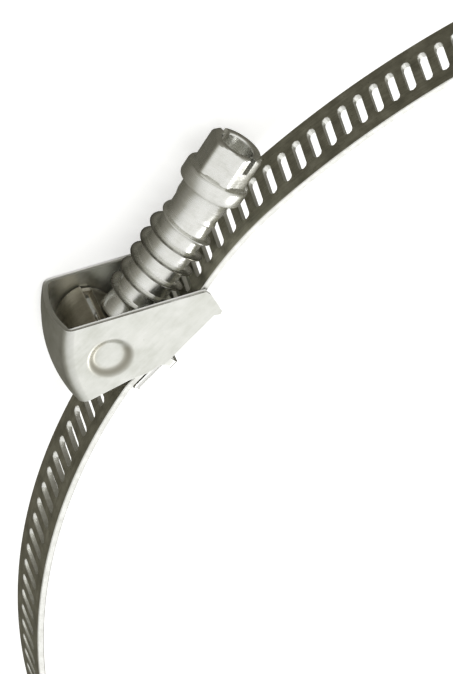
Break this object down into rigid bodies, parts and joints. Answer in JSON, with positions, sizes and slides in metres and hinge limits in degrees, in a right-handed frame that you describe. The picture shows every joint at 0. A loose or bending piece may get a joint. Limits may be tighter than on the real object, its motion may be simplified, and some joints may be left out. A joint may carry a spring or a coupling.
{
  "type": "hose clamp",
  "caption": "Quick-release worm-drive hose clamp: perforated steel band in a large loop, open housing, and a worm screw that swings out on a bracket.",
  "frame": {"origin": "middle of the flat underside of the saddle, where the clamp bears on the hose", "axes": "+Y from the saddle into the middle of the band loop, +Z along the loop's axis (the hose's axis), -X from the saddle towards the screw's head"},
  "size_m": [0.2357, 0.2436, 0.0152],
  "materials": {
    "strip_steel": "rolled stainless strip, dull faces with bright sheared edges",
    "sheet_steel": "pressed stainless sheet, satin, lightly mottled",
    "bracket_steel": "pressed plain steel, dull",
    "plated_steel": "bright zinc-plated turned steel"
  },
  "bodies": {
    "clamp": {"band": "strip_steel", "housing": "sheet_steel", "saddle": "sheet_steel"},
    "bracket": {"swivel": "bracket_steel"},
    "worm": {"screw": "plated_steel", "tail_washer": "plated_steel"}
  },
  "joints": [
    {"name": "swivel_swing", "type": "hinge", "parent": "clamp", "child": "bracket", "pos_m": [0.0066, -0.00965, 0], "axis": [0, 0, 1], "range_deg": [0, 50]},
    {"name": "screw_spin", "type": "hinge", "parent": "bracket", "child": "worm", "pos_m": [0.0048, -0.00735, 0], "axis": [-0.9732, -0.23, 0], "continuous": true}
  ]
}
